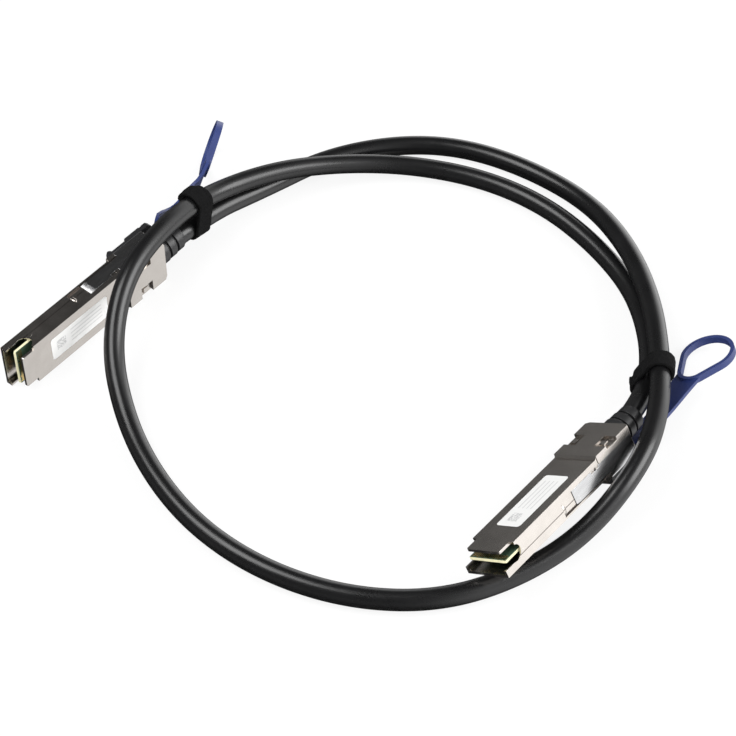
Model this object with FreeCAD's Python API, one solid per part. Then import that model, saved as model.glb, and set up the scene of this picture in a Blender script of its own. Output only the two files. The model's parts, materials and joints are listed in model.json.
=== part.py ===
import FreeCAD, Part
import math
import os

from FreeCAD import Placement, Rotation, Vector

# Direct attach copper cable: one round twinax cable with a pluggable four-lane
# metal plug on each end, laid in a loose loop and held by two hook-and-loop ties.
# Millimetres, +Z up, the lowest solids on Z = 0.
#
# Each plug is drawn once in its own frame: X runs from the nose to the cable,
# Y across the plug, +Z towards the face that carries the label.

# --- die-cast plug body ---
body_width = 18.35
body_height = 8.5
front_length = 53.8        # nose to the raised rear housing
plug_length = 73.0
housing_width = 18.9
housing_rise = 1.05        # the rear housing stands proud of both broad faces
housing_corner = 1.6       # cut off the rear corners
skin = 1.0                 # broad faces
wall = 0.9                 # side walls beside the card
rear_wall = 1.9            # side walls behind the card, under the bracket's arms
seam_height = 3.05         # seam of the two halves, above the lower face
bulkhead = 52.0            # the open cavity ends here

# --- nose ---
tongue_setback = 2.0
tongue_width = 14.6
shoulder_setback = 7.6
rail_height = 2.6          # low side rails that run on to the nose
scoop_start = 4.6          # where the side opening leaves the rail
scoop_end = 9.1            # deepest point of the side opening
scoop_rise = 0.9           # rounding at the ends of the side opening
lip_height = 1.3           # lower half's lip above the seam, beside the scoop
lip_end = 11.2

# --- paddle card ---
card_width = 16.4
card_thickness = 1.0
card_setback = 1.9
card_end = 30.5
card_height = 4.45         # middle of the card above the lower face
ledge_width = 0.75
ledge_start = 10.0
pad_count = 19
pad_pitch = 0.8
pad_width = 0.54
pad_length = 1.9
pad_thickness = 0.05

# --- release bracket ---
bracket_gauge = 0.5
running_gap = 0.1          # between the bracket and the body
recess_depth = 0.65
pocket_start = 31.8        # where the recess in the side walls begins
arm_tip = 38.6
arm_low = -3.3
arm_high = 2.2
wedge_length = 2.4
leg_setback = 3.5          # the arms reach down to the base plate this far into the housing
bracket_inset = 1.0        # the bracket ends this far before the plug does
release_travel = 2.5

# --- guide lugs of the upper half, each in a slot of an arm's upper edge ---
lug_lead = 1.9             # the lug starts this far before the housing
lug_length = 1.3
lug_depth = 0.9

# --- return springs, in grooves of the housing's lower face ---
spring_spread = 6.4        # each spring's distance from the middle
spring_wire = 0.28
spring_diameter = 1.7      # outside
spring_turns = 5
facets_per_turn = 8        # the coil is drawn in short straight pieces
groove_setback = 0.9       # from the front of the bracket's base plate
groove_length = 8.0
groove_width = 2.1
groove_depth = 1.85
spring_tab_width = 1.5

# --- black moulding that joins the bracket and the pull tab ---
holder_width = 16.8
holder_lead = 1.4          # its finger bar stands out before the base plate
holder_overhang = 5.0      # its rear end stands out behind the plug
bar_drop = 2.2             # depth of the finger bar under the base plate
bar_radius = 1.3
web_drop = 1.1             # thin stretch behind the bar
block_start = 65.5
block_drop = 2.0
key_length = 3.5           # last block, behind a groove
key_groove = 1.2
key_drop = 1.9
holder_corner = 1.4
holder_gap = 0.02          # between the base plate and the holder
pin_diameter = 3.0         # holds the strap in its pocket
pin_inset = 4.5

# --- pull tab ---
tab_gauge = 1.2
strap_width = 8.4
tab_width = 9.8            # where the strap meets the loop
tab_grip = 8.0             # length of the strap inside the holder
opening_length = 22.0      # egg-shaped finger opening
near_radius = 4.0          # of the opening, at the strap
far_radius = 8.4
loop_wall = 1.4
rim_height = 2.6
strap_sections = 17

# --- cable, ferrule and strain relief ---
cable_diameter = 7.3
cable_inset = 6.5          # the jacket ends this far inside the plug
press_gap = 0.05
ferrule_length = 7.0
ferrule_lead = 4.5         # its length before the end of the jacket
ferrule_gauge = 0.6
boot_gap = 0.3             # between the ferrule and the boot
boot_reach = 12.2          # of the boot behind the plug
boot_neck = 8.7            # diameter in the housing
flange_diameter = 9.5
flange_setback = 0.9       # from the boot's front end
flange_width = 1.3
rib_count = 3
rib_width = 3.0
rib_groove = 1.05
first_rib_diameter = 10.5
last_rib_diameter = 9.5
rib_groove_depth = 1.1
rib_edge = 0.3

# --- wires inside ---
pair_diameter = 1.5
pair_columns = 4
pair_pitch = 3.8           # across the card
bundle_pitch = 1.75        # across the cable
bundle_level = 1.1
pair_land = 3.0            # how far each pair reaches over the card's end
pair_straight = 2.5        # before it bends towards the cable
pair_bend = 9.5            # length of the bend

# --- screws through the lower face ---
screw_place = 48.6
screw_spread = 5.5
screw_shank = 1.6
screw_head = 2.9
screw_length = 4.4
post_diameter = 3.4

# --- windows and hooks in the housing's upper face ---
window_setback = 5.8       # from the front of the housing
window_length = 5.9
window_reach = 4.3         # inner edge from the middle
hook_length = 2.2
hook_gauge = 0.45

# --- label ---
label_start = 15.4
label_length = 28.1
label_width = 10.4
label_gauge = 0.1
label_corner = 1.2
label_recess = 0.12        # the label lies in a shallow recess

# --- ties ---
tie_gauge = 1.5
tie_grip = 0.15
tie_skew = 1.2             # the second layer lies this far to one side of the first
tie_tail = 0.6

# --- how the plugs lie: nose point, pitch and roll in degrees ---
plug_places = {
    "a": (Vector(-85.86, 81.72, 9.45), 0.0, 90.0),
    "b": (Vector(-52.26, -98.28, 15.95), 3.4, -34.0),
}
# where each finger loop lies: the middle of the opening's edge at the strap, measured from
# the rear end of the holder, then turn sideways, droop and twist in degrees
loop_places = {
    "a": (Vector(38.9, 0.5, -8.5), 0.6, 30.7, 20.0),
    "b": (Vector(37.1, -0.4, 1.9), -3.1, -5.1, 8.5),
}
# points that each strap bows through, from the same place
strap_bows = {
    "a": [Vector(7.0, -0.5, -3.5), Vector(17.0, -4.4, -5.6), Vector(27.0, -2.5, -6.3)],
    "b": [Vector(14.0, 0.0, -0.6)],
}

# --- the cable's route, from plug a to plug b; corners are rounded by arcs ---
cable_route = [
    (-19.36, 81.72, 9.45), (11.74, 81.72, 9.45), (43.34, 76.52, 4.3), (69.74, 69.82, 3.75),
    (92.94, 53.82, 3.75), (108.04, 33.12, 3.75), (114.74, 6.02, 3.75), (112.14, -24.48, 6.2),
    (97.94, -51.28, 11.4), (79.04, -74.28, 13.6), (57.94, -91.98, 15.0), (34.94, -106.88, 17.3),
    (12.34, -114.68, 17.6), (-14.86, -113.48, 7.4), (-40.76, -105.28, 3.75), (-64.76, -91.48, 3.75),
    (-81.76, -69.48, 3.75), (-91.26, -42.98, 3.75), (-93.06, -14.98, 3.75), (-87.26, 12.02, 3.9),
    (-75.26, 38.02, 5.5), (-58.26, 60.52, 13.0), (-37.26, 71.82, 25.3), (-8.76, 78.22, 25.0),
    (19.24, 82.52, 15.9), (45.24, 73.72, 13.2), (68.24, 60.02, 8.3), (87.24, 41.02, 4.7),
    (99.24, 16.02, 3.75), (102.54, -10.98, 3.75), (97.34, -38.48, 3.75), (86.54, -63.28, 3.9),
    (65.74, -84.28, 6.0), (39.54, -98.28, 10.5), (14.14, -98.28, 12.0),
]
# each tie: middles of the upper and the lower strand, direction of the strands, width,
# and whether its loose end points up
tie_places = {
    "a": (Vector(9.74, 81.02, 19.0), Vector(8.04, 81.42, 9.15), Vector(0.98, 0.02, -0.17), 5.6,
          True),
    "b": (Vector(52.44, -95.48, 15.6), Vector(50.64, -92.38, 8.6), Vector(0.86, 0.51, -0.12), 5.2,
          False),
}

# --- derived ---
half_width = body_width / 2
low_face = -body_height / 2
top_face = body_height / 2
housing_low = low_face - housing_rise
housing_top = top_face + housing_rise
housing_half = housing_width / 2
seam = low_face + seam_height
card_middle = low_face + card_height
card_low = card_middle - card_thickness / 2
card_top = card_middle + card_thickness / 2
front_cavity = half_width - wall
rear_cavity = half_width - rear_wall
recess_floor = half_width - recess_depth
leg_start = front_length + leg_setback
bracket_end = plug_length - bracket_inset
lug_start = front_length - lug_lead
groove_start = leg_start + groove_setback
window_start = front_length + window_setback
cable_start = plug_length - cable_inset
ferrule_start = cable_start - ferrule_lead
ferrule_end = ferrule_start + ferrule_length
boot_start = ferrule_end + boot_gap
boot_end = plug_length + boot_reach
flange_start = boot_start + flange_setback
arm_inner = recess_floor + running_gap
arm_outer = arm_inner + bracket_gauge
base_top = housing_low - running_gap
base_low = base_top - bracket_gauge
holder_start = leg_start - holder_lead
holder_end = plug_length + holder_overhang
strap_level = base_low - press_gap - tab_gauge / 2
cable_radius = cable_diameter / 2
cable_bore = cable_radius + press_gap
ferrule_radius = cable_bore + ferrule_gauge
spring_axis = base_top + spring_diameter / 2 + press_gap


def box(x0, x1, y0, y1, z0, z1):
    return Part.makeBox(x1 - x0, y1 - y0, z1 - z0, Vector(x0, y0, z0))


def outline(steps, to_vector):
    """Closed wire: a step of two numbers is a corner, of four an arc's middle and end."""
    edges = []
    here = to_vector(*steps[0])
    for step in list(steps[1:]) + [steps[0]]:
        end = to_vector(*step[-2:])
        if len(step) == 4:
            edges.append(Part.Arc(here, to_vector(*step[:2]), end).toShape())
        elif end.distanceToPoint(here) > 1e-6:
            edges.append(Part.LineSegment(here, end).toShape())
        here = end
    return Part.Wire(edges)


def side_prism(steps, half):
    """Outline in X and Z, as wide as half on each side of the middle."""
    face = Part.Face(outline(steps, lambda x, z: Vector(x, -half, z)))
    return face.extrude(Vector(0, 2 * half, 0))


def plan_prism(steps, z0, z1):
    """Outline in X and Y between two heights."""
    face = Part.Face(outline(steps, lambda x, y: Vector(x, y, z0)))
    return face.extrude(Vector(0, 0, z1 - z0))


def rod(x0, x1, diameter, y=0.0, z=0.0):
    return Part.makeCylinder(diameter / 2, x1 - x0, Vector(x0, y, z), Vector(1, 0, 0))


def both_sides(shape):
    """A shape and its mirror image across the middle of the plug."""
    return shape.fuse(shape.mirror(Vector(0, 0, 0), Vector(0, 1, 0)))


def rounded_route(points):
    """Straight runs joined by tangent arcs, each as large as its runs allow."""
    corners = [Vector(*p) for p in points]
    edges, radii = [], []
    here = corners[0]
    for before, corner, after in zip(corners, corners[1:], corners[2:]):
        back, ahead = before - corner, after - corner
        shorter = min(back.Length, ahead.Length)
        half_turn = (math.pi - back.getAngle(ahead)) / 2
        size = 0.45 * shorter / math.tan(half_turn)
        cut = size * math.tan(half_turn)
        back.normalize()
        ahead.normalize()
        start, end = corner + back * cut, corner + ahead * cut
        inward = (back + ahead).normalize()
        middle = corner + inward * (size / math.cos(half_turn) - size)
        edges.append(Part.LineSegment(here, start).toShape())
        edges.append(Part.Arc(start, middle, end).toShape())
        radii.append(size)
        here = end
    edges.append(Part.LineSegment(here, corners[-1]).toShape())
    return Part.Wire(edges), radii


def tube_along(points, diameter):
    wire, radii = rounded_route(points)
    first = Vector(*points[0])
    heading = Vector(*points[1]) - first
    ring = Part.Wire(Part.makeCircle(diameter / 2, first, heading))
    return wire.makePipeShell([ring], True, False), radii, wire.Length


# --- plug body ---

def housing_plan(half):
    """The rear housing from above: straight sides, corners cut towards the cable."""
    cut = housing_corner
    return [(front_length, -half), (plug_length - cut / 2, -half), (plug_length, -half + cut),
            (plug_length, half - cut), (plug_length - cut / 2, half), (front_length, half)]


def side_recesses():
    """Channels in both sides for the bracket's arms, open downwards behind the legs."""
    low, high = arm_low - running_gap, arm_high + running_gap
    arms = box(pocket_start, plug_length + 1, recess_floor, housing_half + 1, low, high)
    legs = box(leg_start - 2 * running_gap, plug_length + 1, recess_floor, housing_half + 1,
               housing_low - 1, high)
    return both_sides(arms.fuse(legs))


def cable_bores():
    """Round seats for the ferrule and the strain relief, and the way in for the wires."""
    throat = box(bulkhead - 1, ferrule_start, -ferrule_radius, ferrule_radius,
                 -bundle_level - pair_diameter, bundle_level + pair_diameter)
    seat = rod(ferrule_start - press_gap, plug_length + 1, 2 * (ferrule_radius + press_gap))
    neck = rod(boot_start, plug_length + 1, boot_neck + 2 * press_gap)
    groove = rod(flange_start - press_gap, flange_start + flange_width + press_gap,
                 flange_diameter + 2 * press_gap)
    return throat.fuse([seat, neck, groove])


def body_cavity():
    card_room = box(-1, card_end + 0.5, -front_cavity, front_cavity, low_face + skin,
                    top_face - skin)
    wire_room = box(card_end, bulkhead, -rear_cavity, rear_cavity, low_face + skin,
                    top_face - skin)
    return card_room.fuse([wire_room, cable_bores()])


def lower_shell():
    rail_top = low_face + rail_height
    lip_top = seam + lip_height
    side = side_prism([
        (0, low_face), (front_length, low_face), (front_length, seam),
        (lip_end + lip_height, seam), (lip_end, lip_top), (scoop_end, lip_top),
        (scoop_end - scoop_rise, rail_top + 0.6 * scoop_rise, scoop_start, rail_top),
        (0, rail_top)], half_width)
    ramp = side_prism([
        (front_length - housing_rise, low_face), (front_length + 0.01, housing_low),
        (front_length + 0.01, seam), (front_length - housing_rise, seam)], half_width)
    housing = plan_prism(housing_plan(housing_half), housing_low, seam)
    shell = side.fuse([ramp, housing]).cut(body_cavity()).cut(side_recesses())
    ledges = both_sides(box(ledge_start, card_end, front_cavity - ledge_width,
                            front_cavity, low_face + skin, card_low))
    for side_sign in (-1, 1):
        shell = shell.cut(screw_solid(side_sign, press_gap))
        middle = side_sign * spring_spread
        shell = shell.cut(box(groove_start, groove_start + groove_length,
                              middle - groove_width / 2, middle + groove_width / 2,
                              housing_low - 1, housing_low + groove_depth))
    return shell.fuse(ledges).removeSplitter()


def upper_shell():
    lip_top = seam + lip_height
    shoulder = shoulder_setback
    side = side_prism([
        (scoop_end, lip_top), (lip_end, lip_top), (lip_end + lip_height, seam),
        (front_length, seam), (front_length, top_face), (shoulder, top_face),
        (shoulder, top_face - skin),
        (scoop_end - scoop_rise / 6, top_face - skin - scoop_rise, scoop_end, lip_top)],
        half_width)
    corner = 0.8
    tongue = plan_prism([
        (tongue_setback, -tongue_width / 2 + corner),
        (tongue_setback + corner * 0.29, -tongue_width / 2 + corner * 0.29,
         tongue_setback + corner, -tongue_width / 2),
        (shoulder + 1, -tongue_width / 2), (shoulder + 1, tongue_width / 2),
        (tongue_setback + corner, tongue_width / 2),
        (tongue_setback + corner * 0.29, tongue_width / 2 - corner * 0.29,
         tongue_setback, tongue_width / 2 - corner)], top_face - skin, top_face)
    ramp = side_prism([
        (front_length - housing_rise / 2, top_face), (front_length + 0.01, housing_top),
        (front_length + 0.01, seam), (front_length - housing_rise / 2, seam)], half_width)
    housing = plan_prism(housing_plan(housing_half), seam, housing_top)
    shell = side.fuse([tongue, ramp, housing]).cut(body_cavity()).cut(side_recesses())
    shell = shell.cut(label_plate(top_face - label_recess, top_face + 1, press_gap))
    ledges = both_sides(box(ledge_start, card_end, front_cavity - ledge_width,
                            front_cavity, card_top, top_face - skin))
    lugs = both_sides(box(lug_start, lug_start + lug_length, recess_floor, arm_outer,
                          arm_high - lug_depth, arm_high + running_gap))
    shell = shell.fuse([ledges, lugs])
    for side_sign in (-1, 1):
        post = Part.makeCylinder(post_diameter / 2, top_face - low_face - 2 * skin,
                                 Vector(screw_place, side_sign * screw_spread, low_face + skin))
        shell = shell.fuse(post).cut(screw_solid(side_sign, press_gap))
        shell = shell.cut(window(side_sign)).fuse(window_hook(side_sign))
    return shell.removeSplitter()


def window(side_sign):
    """Notch in the housing's upper face, open to the side."""
    y0, y1 = sorted((side_sign * window_reach, side_sign * (housing_half + 1)))
    return box(window_start, window_start + window_length, y0, y1,
               top_face - 0.2, housing_top + 1)


def window_hook(side_sign):
    """Bent catch that stands in the window."""
    y0, y1 = sorted((side_sign * (window_reach + 1.0), side_sign * (window_reach + 3.4)))
    x0 = window_start + 1.2
    floor = top_face - 0.2
    upright = box(x0, x0 + hook_gauge, y0, y1, floor, housing_top - 0.1)
    hook = box(x0, x0 + hook_length, y0, y1, housing_top - 0.1 - hook_gauge, housing_top - 0.1)
    return upright.fuse(hook)


# --- electronics and wires ---

def paddle_card():
    half = card_width / 2 - press_gap
    corner = 0.6
    plan = plan_prism([
        (card_setback, -half + corner), (card_setback + corner, -half), (card_end, -half),
        (card_end, half), (card_setback + corner, half), (card_setback, half - corner)],
        card_low, card_top)
    bevel = 0.3
    nose = side_prism([
        (card_setback, card_middle - card_thickness / 2 + bevel),
        (card_setback + 2 * bevel, card_low), (card_end, card_low), (card_end, card_top),
        (card_setback + 2 * bevel, card_top),
        (card_setback, card_middle + card_thickness / 2 - bevel)], half + 1)
    return plan.common(nose)


def contact_pads():
    """Gold fingers on both faces; every third one is longer, so that it mates first."""
    pads = []
    for index in range(pad_count):
        y = (index - (pad_count - 1) / 2) * pad_pitch
        start = card_setback + (0.7 if index % 3 == 0 else 1.1)
        for z in (card_top, card_low - pad_thickness):
            pads.append(box(start, card_setback + 1.1 + pad_length, y - pad_width / 2,
                            y + pad_width / 2, z, z + pad_thickness))
    return Part.Compound(pads)


def card_components():
    """Memory chip and a row of small capacitors on the card's upper face."""
    parts = [box(14.0, 17.0, -1.5, 1.5, card_top, card_top + 0.9)]
    for index in range(4):
        y = (index - 1.5) * pair_pitch
        parts.append(box(22.0, 23.0, y - 0.25, y + 0.25, card_top, card_top + 0.5))
    return Part.Compound(parts)


def twinax_pairs():
    """Eight shielded pairs: four over the card's end and four under it."""
    pairs = []
    for level, face in ((1, card_top), (-1, card_low)):
        land = face + level * (pair_diameter / 2 + press_gap)
        for column in range(pair_columns):
            offset = column - (pair_columns - 1) / 2
            y_card, y_cable = offset * pair_pitch, offset * bundle_pitch
            z_cable = level * bundle_level
            start = card_end - pair_land
            bend_start = card_end + pair_straight
            line = Part.makePolygon([
                Vector(start, y_card, land), Vector(bend_start, y_card, land),
                Vector(bend_start + pair_bend, y_cable, z_cable),
                Vector(cable_start - 2 * press_gap, y_cable, z_cable)])
            ring = Part.Wire(Part.makeCircle(pair_diameter / 2, line.Vertexes[0].Point,
                                             Vector(1, 0, 0)))
            pairs.append(line.makePipeShell([ring], True, False, 1))
    return Part.Compound(pairs)


def crimp_ferrule():
    tube = rod(ferrule_start, ferrule_end, 2 * ferrule_radius)
    return tube.cut(rod(ferrule_start - 1, ferrule_end + 1, 2 * cable_bore))


def strain_relief_boot():
    """Moulded sleeve: neck and flange inside the housing, ribs outside."""
    steps = [(boot_start, cable_bore), (boot_start, boot_neck / 2),
             (flange_start, boot_neck / 2), (flange_start, flange_diameter / 2),
             (flange_start + flange_width, flange_diameter / 2),
             (flange_start + flange_width, boot_neck / 2), (plug_length, boot_neck / 2)]
    x = plug_length + press_gap
    for index in range(rib_count):
        share = index / (rib_count - 1)
        rib = (first_rib_diameter + share * (last_rib_diameter - first_rib_diameter)) / 2
        root = rib - rib_groove_depth
        steps += [(x, rib - rib_edge), (x + rib_edge, rib), (x + rib_width - rib_edge, rib),
                  (x + rib_width, rib - rib_edge)]
        if index < rib_count - 1:
            steps += [(x + rib_width, root), (x + rib_width + rib_groove, root)]
        x += rib_width + rib_groove
    steps += [(boot_end, cable_bore + 0.5), (boot_end, cable_bore)]
    face = Part.Face(outline(steps, lambda px, pr: Vector(px, 0, pr)))
    return face.revolve(Vector(0, 0, 0), Vector(1, 0, 0), 360)


# --- latch ---

def latch_slider():
    """Sheet bracket: two arms with wedge tips, joined by a base plate under the housing."""
    wedge_thin = 0.15
    arm = plan_prism([
        (arm_tip, arm_inner), (bracket_end, arm_inner), (bracket_end, arm_outer),
        (arm_tip + wedge_length, arm_outer), (arm_tip, arm_inner + wedge_thin)],
        arm_low, arm_high)
    leg = box(leg_start, bracket_end, arm_inner, arm_outer, base_low, arm_high)
    slot = box(lug_start - release_travel - 2 * running_gap, lug_start + lug_length + running_gap,
               arm_inner - 1, arm_outer + 1, arm_high - lug_depth - running_gap, arm_high + 1)
    sides = both_sides(arm.fuse(leg).cut(slot))
    base = box(leg_start, bracket_end, -arm_outer, arm_outer, base_low, base_top)
    bracket = sides.fuse(base)
    tabs = []
    for side_sign in (-1, 1):
        middle = side_sign * spring_spread
        y0, y1 = middle - spring_tab_width / 2, middle + spring_tab_width / 2
        x0 = groove_start + running_gap
        tabs.append(box(x0, x0 + bracket_gauge, y0, y1, base_top - 0.1,
                        housing_low + groove_depth - running_gap))
    bracket = bracket.fuse(tabs).removeSplitter()
    bends = [edge for edge in bracket.Edges
             if abs(edge.BoundBox.YMin) > arm_outer - 0.01 and edge.BoundBox.YLength < 0.01
             and abs(edge.BoundBox.ZMax - base_low) < 0.01 and edge.BoundBox.XLength > 5]
    return bracket.makeFillet(2 * bracket_gauge - 0.1, bends) if bends else bracket


def tab_holder():
    """Moulding under the base plate: finger bar, thin web, block and keyed rear end."""
    bar_low, web_low = base_low - bar_drop, base_low - web_drop
    block_low, key_low = base_low - block_drop, base_low - key_drop
    bar_end = holder_start + 2 * bar_radius
    key_start = holder_end - key_length
    top = base_low - holder_gap
    side = side_prism([
        (holder_start, top), (holder_start, bar_low + bar_radius),
        (holder_start + bar_radius, bar_low, bar_end, bar_low + bar_radius),
        (bar_end, web_low), (block_start, web_low), (block_start + holder_corner / 4, block_low),
        (key_start - key_groove, block_low), (key_start - key_groove, web_low - tab_gauge / 2),
        (key_start, web_low - tab_gauge / 2), (key_start, key_low),
        (holder_end, key_low), (holder_end, top)], holder_width)
    half, corner = holder_width / 2, holder_corner
    plan = plan_prism([
        (holder_start, -half + corner), (holder_start + corner, -half),
        (holder_end - corner, -half), (holder_end, -half + corner),
        (holder_end, half - corner), (holder_end - corner, half),
        (holder_start + corner, half), (holder_start, half - corner)],
        bar_low - 1, base_low)
    pocket = box(holder_end - tab_grip - press_gap, holder_end + 1, -strap_width / 2 - press_gap,
                 strap_width / 2 + press_gap, strap_level - tab_gauge / 2 - press_gap, base_low)
    return side.common(plan).cut(pocket).fuse(strap_pin(0.0)).removeSplitter()


def strap_pin(gap):
    """Round pin through the strap's root; gap makes the hole for it."""
    return Part.makeCylinder(pin_diameter / 2 + gap, block_drop - holder_gap,
                             Vector(holder_end - pin_inset, 0, base_low - block_drop))


def egg(grow):
    """The finger opening from above, small end at the strap; grow widens it all round."""
    near, far = near_radius + grow, far_radius + grow
    start, end = near_radius, opening_length - far_radius
    lean = math.asin((far - near) / (end - start))
    x0, y0 = start - near * math.sin(lean), near * math.cos(lean)
    x1, y1 = end - far * math.sin(lean), far * math.cos(lean)
    return [(x0, -y0), (x1, -y1), (end + far, 0, x1, y1), (x0, y0), (start - near, 0, x0, -y0)]


def pull_tab(side):
    """Strap from the holder, bowed and gently twisted, into a flat finger loop."""
    middle, turn, droop, twist = loop_places[side]
    root = Vector(holder_end, 0, strap_level)
    rotation = Rotation(Vector(0, 0, 1), turn).multiply(Rotation(Vector(0, 1, 0), droop))
    loop = Placement(root + middle, rotation.multiply(Rotation(Vector(1, 0, 0), twist)))
    line = Part.BSplineCurve()
    points = [root] + [root + bow for bow in strap_bows[side]]
    points.append(loop.multVec(Vector(near_radius, 0, 0)))
    ahead = [Vector(1, 0, 0)] * (len(points) - 1) + [loop.Rotation.multVec(Vector(1, 0, 0))]
    held = [True] + [False] * (len(points) - 2) + [True]
    line.interpolate(Points=points, Tangents=ahead, TangentFlags=held)
    across_end = loop.Rotation.multVec(Vector(0, 1, 0))
    first, last = line.FirstParameter, line.LastParameter
    sections = []
    for index in range(strap_sections):
        share = index / (strap_sections - 1)
        at = first + share * (last - first)
        point, along = line.value(at), line.tangent(at)[0]
        across = Vector(0, 1, 0) * (1 - share) + across_end * share
        width = strap_width + (tab_width - strap_width) * share ** 3
        across = (across - along * across.dot(along)).normalize() * (width / 2)
        up = along.cross(across).normalize() * (tab_gauge / 2)
        sections.append(Part.makePolygon([point - across - up, point + across - up,
                                          point + across + up, point - across + up,
                                          point - across - up]))
    strap = Part.makeLoft(sections, True, True)
    grip = box(holder_end - tab_grip, holder_end, -strap_width / 2, strap_width / 2,
               strap_level - tab_gauge / 2, strap_level + tab_gauge / 2)
    opening = placed(plan_prism(egg(0.0), -rim_height, rim_height), loop)
    rim = placed(plan_prism(egg(loop_wall), -rim_height / 2, rim_height / 2), loop)
    tab = grip.cut(strap_pin(press_gap)).fuse([strap, rim]).cut(opening)
    return tab.removeSplitter()


def return_springs():
    """Two coil springs, between the bracket's tabs and the ends of the grooves."""
    start = groove_start + running_gap + bracket_gauge + press_gap + spring_wire / 2
    end = groove_start + groove_length - press_gap - spring_wire / 2
    coil = (spring_diameter - spring_wire) / 2
    count = spring_turns * facets_per_turn
    springs = []
    for side_sign in (-1, 1):
        middle = Vector(0, side_sign * spring_spread, spring_axis)
        points = []
        for index in range(count + 1):
            angle = 2 * math.pi * index / facets_per_turn
            along = start + (end - start) * index / count
            points.append(middle + Vector(along, coil * math.cos(angle), coil * math.sin(angle)))
        ring = Part.makeCircle(spring_wire / 2, points[0], points[1] - points[0])
        corners = ring.discretize(7)
        section = Part.makePolygon(corners[:-1] + corners[:1])
        springs.append(Part.makePolygon(points).makePipeShell([section], True, True, 1))
    return Part.Compound(springs)


def screw_solid(side_sign, gap=0.0):
    """Countersunk screw from the lower face into a post; gap makes the hole for it."""
    head, shank = screw_head / 2 + gap, screw_shank / 2 + gap
    steps = [(0.0, low_face), (head, low_face), (shank, low_face + head - shank),
             (shank, low_face + screw_length + gap), (0.0, low_face + screw_length + gap)]
    face = Part.Face(outline(steps, lambda r, z: Vector(r, 0, z)))
    screw = face.revolve(Vector(0, 0, 0), Vector(0, 0, 1), 360)
    screw.translate(Vector(screw_place, side_sign * screw_spread, 0))
    return screw


def shell_screws():
    return Part.Compound([screw_solid(-1), screw_solid(1)])


def label_plate(z0, z1, grow):
    """The label's outline with round corners, widened by grow."""
    x0, x1 = label_start - grow, label_start + label_length + grow
    half, corner = label_width / 2 + grow, label_corner
    near = corner * (1 - math.sqrt(0.5))
    return plan_prism([
        (x0, -half + corner), (x0 + near, -half + near, x0 + corner, -half),
        (x1 - corner, -half), (x1 - near, -half + near, x1, -half + corner),
        (x1, half - corner), (x1 - near, half - near, x1 - corner, half),
        (x0 + corner, half), (x0 + near, half - near, x0, half - corner)], z0, z1)


def label():
    floor = top_face - label_recess
    return label_plate(floor, floor + label_gauge, 0.0)


# --- shared ---

def cable_tie(upper, lower, heading, width, tail_up):
    """Band round two strands, with its loose end wrapped over one of them."""
    across = Vector(heading).normalize()
    up = upper - lower
    up = up - across * up.dot(across)
    gap = up.Length
    up.normalize()
    beside = up.cross(across)
    inner = cable_radius + tie_grip
    outer = inner + tie_gauge

    def band(steps, half):
        if not tail_up:
            steps = [tuple(v if i % 2 == 0 else gap - v for i, v in enumerate(step))
                     for step in steps]
        face = Part.Face(outline(steps, lambda a, b: Vector(-half, a, b)))
        return face.extrude(Vector(2 * half, 0, 0))

    def racetrack(radius):
        return [(-radius, 0), (-radius, gap), (0, gap + radius, radius, gap), (radius, 0),
                (0, -radius, -radius, 0)]

    ring = band(racetrack(outer), width / 2).cut(band(racetrack(inner), width))
    layer = outer + 0.8 * tie_gauge
    slant = math.sqrt(0.5)
    second = band([
        (outer - tie_grip, 0.1 * gap), (layer, 0.35 * gap), (layer, gap),
        (layer * slant, gap + layer * slant, 0, gap + layer), (-tie_tail, gap + layer + 0.3),
        (-tie_tail, gap + outer + 0.3), (0, gap + outer - tie_grip),
        ((outer - tie_grip) * slant, gap + (outer - tie_grip) * slant, outer - tie_grip, gap)],
        0.45 * width)
    second.translate(Vector(-tie_skew, 0, 0))
    frame = FreeCAD.Matrix(across.x, beside.x, up.x, lower.x, across.y, beside.y, up.y, lower.y,
                           across.z, beside.z, up.z, lower.z, 0, 0, 0, 1)
    return placed(ring.fuse(second).removeSplitter(), Placement(frame))


def placed(shape, placement):
    result = shape.copy()
    result.Placement = placement.multiply(shape.Placement)
    return result


def write(shape, node):
    shape.exportStep(os.path.join("parts", node + ".step"))
    print(node, "solids", len(shape.Solids), "valid", shape.isValid(),
          "volume", round(shape.Volume, 2))


os.makedirs("parts", exist_ok=True)

plug_pieces = {
    "lower_shell": lower_shell(),
    "upper_shell": upper_shell(),
    "paddle_card": paddle_card(),
    "contact_pads": contact_pads(),
    "card_components": card_components(),
    "twinax_pairs": twinax_pairs(),
    "crimp_ferrule": crimp_ferrule(),
    "strain_relief_boot": strain_relief_boot(),
    "latch_slider": latch_slider(),
    "tab_holder": tab_holder(),
    "return_springs": return_springs(),
    "shell_screws": shell_screws(),
    "label": label(),
}

for side, (nose, pitch, roll) in plug_places.items():
    turn = Rotation(Vector(0, 1, 0), pitch).multiply(Rotation(Vector(1, 0, 0), roll))
    place = Placement(nose, turn)
    for name, piece in plug_pieces.items():
        write(placed(piece, place), name + "_" + side)
    write(placed(pull_tab(side), place), "pull_tab_" + side)

jacket, bend_radii, jacket_length = tube_along(cable_route, cable_diameter)
write(jacket, "cable_jacket")
print("cable length", round(jacket_length, 1), "smallest bend", round(min(bend_radii), 1),
      "volume share", round(jacket.Volume / (math.pi * cable_radius ** 2 * jacket_length), 4))
print("bend radii", [round(r) for r in bend_radii])

for side, tie_place in tie_places.items():
    write(cable_tie(*tie_place), "cable_tie_" + side)
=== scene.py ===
import json
import math

import bpy
from mathutils import Euler, Matrix, Vector

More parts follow.
